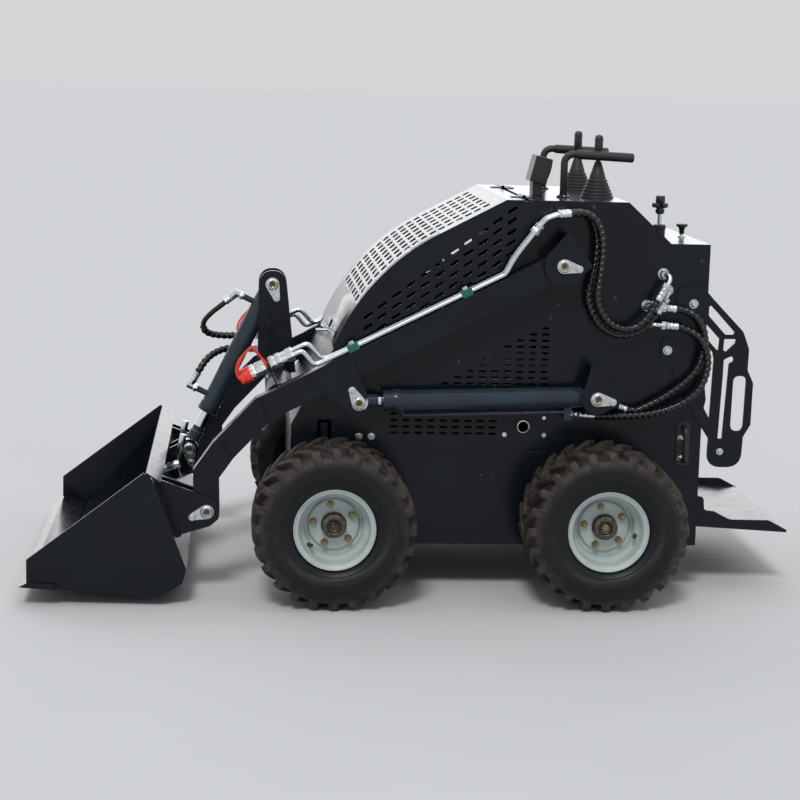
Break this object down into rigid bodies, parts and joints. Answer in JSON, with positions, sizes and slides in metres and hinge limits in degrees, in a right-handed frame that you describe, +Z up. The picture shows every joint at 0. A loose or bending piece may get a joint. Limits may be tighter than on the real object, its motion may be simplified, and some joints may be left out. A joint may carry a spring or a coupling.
{
  "type": "skid steer loader",
  "caption": "Compact walk-behind loader on wheels, with lift arms raised by cylinders, a tilting earth bucket, an opening front hood and a fold-up rear platform.",
  "frame": {"origin": "on the ground, below the middle of the overall length and width", "axes": "+X to the rear of the machine, -X to the bucket, -Y is the machine's left, +Z up"},
  "size_m": [2.203, 1.228, 1.2979],
  "materials": {
    "body_paint": "gloss, dark slate",
    "bucket_paint": "gloss, near black",
    "edge_steel": "worn satin",
    "cylinder_paint": "gloss black",
    "rod_chrome": "polished",
    "pin_steel": "zinc plated",
    "pipe_zinc": "bright zinc",
    "clamp_plastic": "dark green",
    "hose_rubber": "ribbed black",
    "motor_iron": "painted dark",
    "engine": "dull",
    "handle_rubber": "satin black",
    "gauge_plastic": "black",
    "knob_plastic": "black",
    "tyre_rubber": "dusty black",
    "rim_paint": "silver grey"
  },
  "bodies": {
    "chassis": {"side_panel_left": "body_paint", "side_panel_right": "body_paint", "underframe": "body_paint", "rear_panel": "body_paint", "console_deck": "body_paint", "engine_block": "engine", "frame_brackets": "body_paint", "frame_pins": "pin_steel", "wheel_motors": "motor_iron", "guard_plates": "body_paint", "operator_handles": "handle_rubber", "control_levers": "handle_rubber", "gauge": "gauge_plastic", "filler_knobs": "knob_plastic", "bulkhead_fittings": "pipe_zinc", "arm_hoses": "hose_rubber", "cylinder_hoses": "hose_rubber"},
    "hood": {"hood_grille": "body_paint"},
    "platform": {"platform": "body_paint"},
    "lift_arms": {"arm_left": "body_paint", "arm_right": "body_paint", "tilt_tower": "body_paint", "arm_pins": "pin_steel", "hard_pipes": "pipe_zinc", "quick_couplers": "pipe_zinc", "pipe_clamps": "clamp_plastic", "tilt_hoses": "hose_rubber"},
    "bucket": {"coupler_frame": "bucket_paint", "coupler_pins": "pin_steel", "bucket_shell": "bucket_paint", "cutting_edge": "edge_steel"},
    "lift_barrel_left": {"lift_barrel_left": "cylinder_paint"},
    "lift_barrel_right": {"lift_barrel_right": "cylinder_paint"},
    "lift_rod_left": {"lift_rod_left": "rod_chrome"},
    "lift_rod_right": {"lift_rod_right": "rod_chrome"},
    "tilt_barrel": {"tilt_barrel": "cylinder_paint"},
    "tilt_rod": {"tilt_rod": "rod_chrome"},
    "wheel_front_left": {"tyre_front_left": "tyre_rubber", "rim_front_left": "rim_paint"},
    "wheel_front_right": {"tyre_front_right": "tyre_rubber", "rim_front_right": "rim_paint"},
    "wheel_rear_left": {"tyre_rear_left": "tyre_rubber", "rim_rear_left": "rim_paint"},
    "wheel_rear_right": {"tyre_rear_right": "tyre_rubber", "rim_rear_right": "rim_paint"}
  },
  "joints": [
    {"name": "lift_arm_raise", "type": "hinge", "parent": "chassis", "child": "lift_arms", "pos_m": [0.386, 0, 0.949], "axis": [0, 1, 0], "range_deg": [0, 73], "deforming": ["arm_hoses"]},
    {"name": "bucket_tilt", "type": "hinge", "parent": "lift_arms", "child": "bucket", "pos_m": [-0.593, 0, 0.244], "axis": [0, -1, 0], "range_deg": [-26, 55]},
    {"name": "hood_open", "type": "hinge", "parent": "chassis", "child": "hood", "pos_m": [0.292, 0, 1.127], "axis": [0, 1, 0], "range_deg": [0, 65]},
    {"name": "platform_fold", "type": "hinge", "parent": "chassis", "child": "platform", "pos_m": [0.835, 0, 0.256], "axis": [0, -1, 0], "range_deg": [0, 90]},
    {"name": "lift_barrel_left_swing", "type": "hinge", "parent": "chassis", "child": "lift_barrel_left", "pos_m": [0.496, -0.408, 0.577], "axis": [0, 1, 0], "range_deg": [0, 52.5], "deforming": ["cylinder_hoses"]},
    {"name": "lift_rod_left_slide", "type": "slide", "parent": "lift_barrel_left", "child": "lift_rod_left", "axis": [-0.9995, 0, -0.0313], "range_m": [0, 0.3546]},
    {"name": "lift_barrel_right_swing", "type": "hinge", "parent": "chassis", "child": "lift_barrel_right", "pos_m": [0.496, 0.408, 0.577], "axis": [0, 1, 0], "range_deg": [0, 52.5], "deforming": ["cylinder_hoses"]},
    {"name": "lift_rod_right_slide", "type": "slide", "parent": "lift_barrel_right", "child": "lift_rod_right", "axis": [-0.9995, 0, -0.0313], "range_m": [0, 0.3546]},
    {"name": "tilt_barrel_swing", "type": "hinge", "parent": "lift_arms", "child": "tilt_barrel", "pos_m": [-0.413, 0, 0.841], "axis": [0, 1, 0], "range_deg": [-1.3, 2.6], "deforming": ["tilt_hoses"]},
    {"name": "tilt_rod_slide", "type": "slide", "parent": "tilt_barrel", "child": "tilt_rod", "axis": [-0.4363, 0, -0.8998], "range_m": [-0.0455, 0.0961]},
    {"name": "wheel_front_left_spin", "type": "hinge", "parent": "chassis", "child": "wheel_front_left", "pos_m": [-0.241, -0.496, 0.228], "axis": [0, 1, 0], "continuous": true},
    {"name": "wheel_front_right_spin", "type": "hinge", "parent": "chassis", "child": "wheel_front_right", "pos_m": [-0.241, 0.496, 0.228], "axis": [0, 1, 0], "continuous": true},
    {"name": "wheel_rear_left_spin", "type": "hinge", "parent": "chassis", "child": "wheel_rear_left", "pos_m": [0.517, -0.496, 0.228], "axis": [0, 1, 0], "continuous": true},
    {"name": "wheel_rear_right_spin", "type": "hinge", "parent": "chassis", "child": "wheel_rear_right", "pos_m": [0.517, 0.496, 0.228], "axis": [0, 1, 0], "continuous": true}
  ],
  "couplings": [
    {"joint": "lift_barrel_left_swing", "follows": "lift_arm_raise", "ratio": 0.7186},
    {"joint": "lift_rod_left_slide", "follows": "lift_arm_raise", "m_per_rad": 0.2782},
    {"joint": "lift_barrel_right_swing", "follows": "lift_arm_raise", "ratio": 0.7186},
    {"joint": "lift_rod_right_slide", "follows": "lift_arm_raise", "m_per_rad": 0.2782},
    {"joint": "tilt_barrel_swing", "follows": "bucket_tilt", "ratio": 0.045},
    {"joint": "tilt_rod_slide", "follows": "bucket_tilt", "m_per_rad": 0.1}
  ]
}
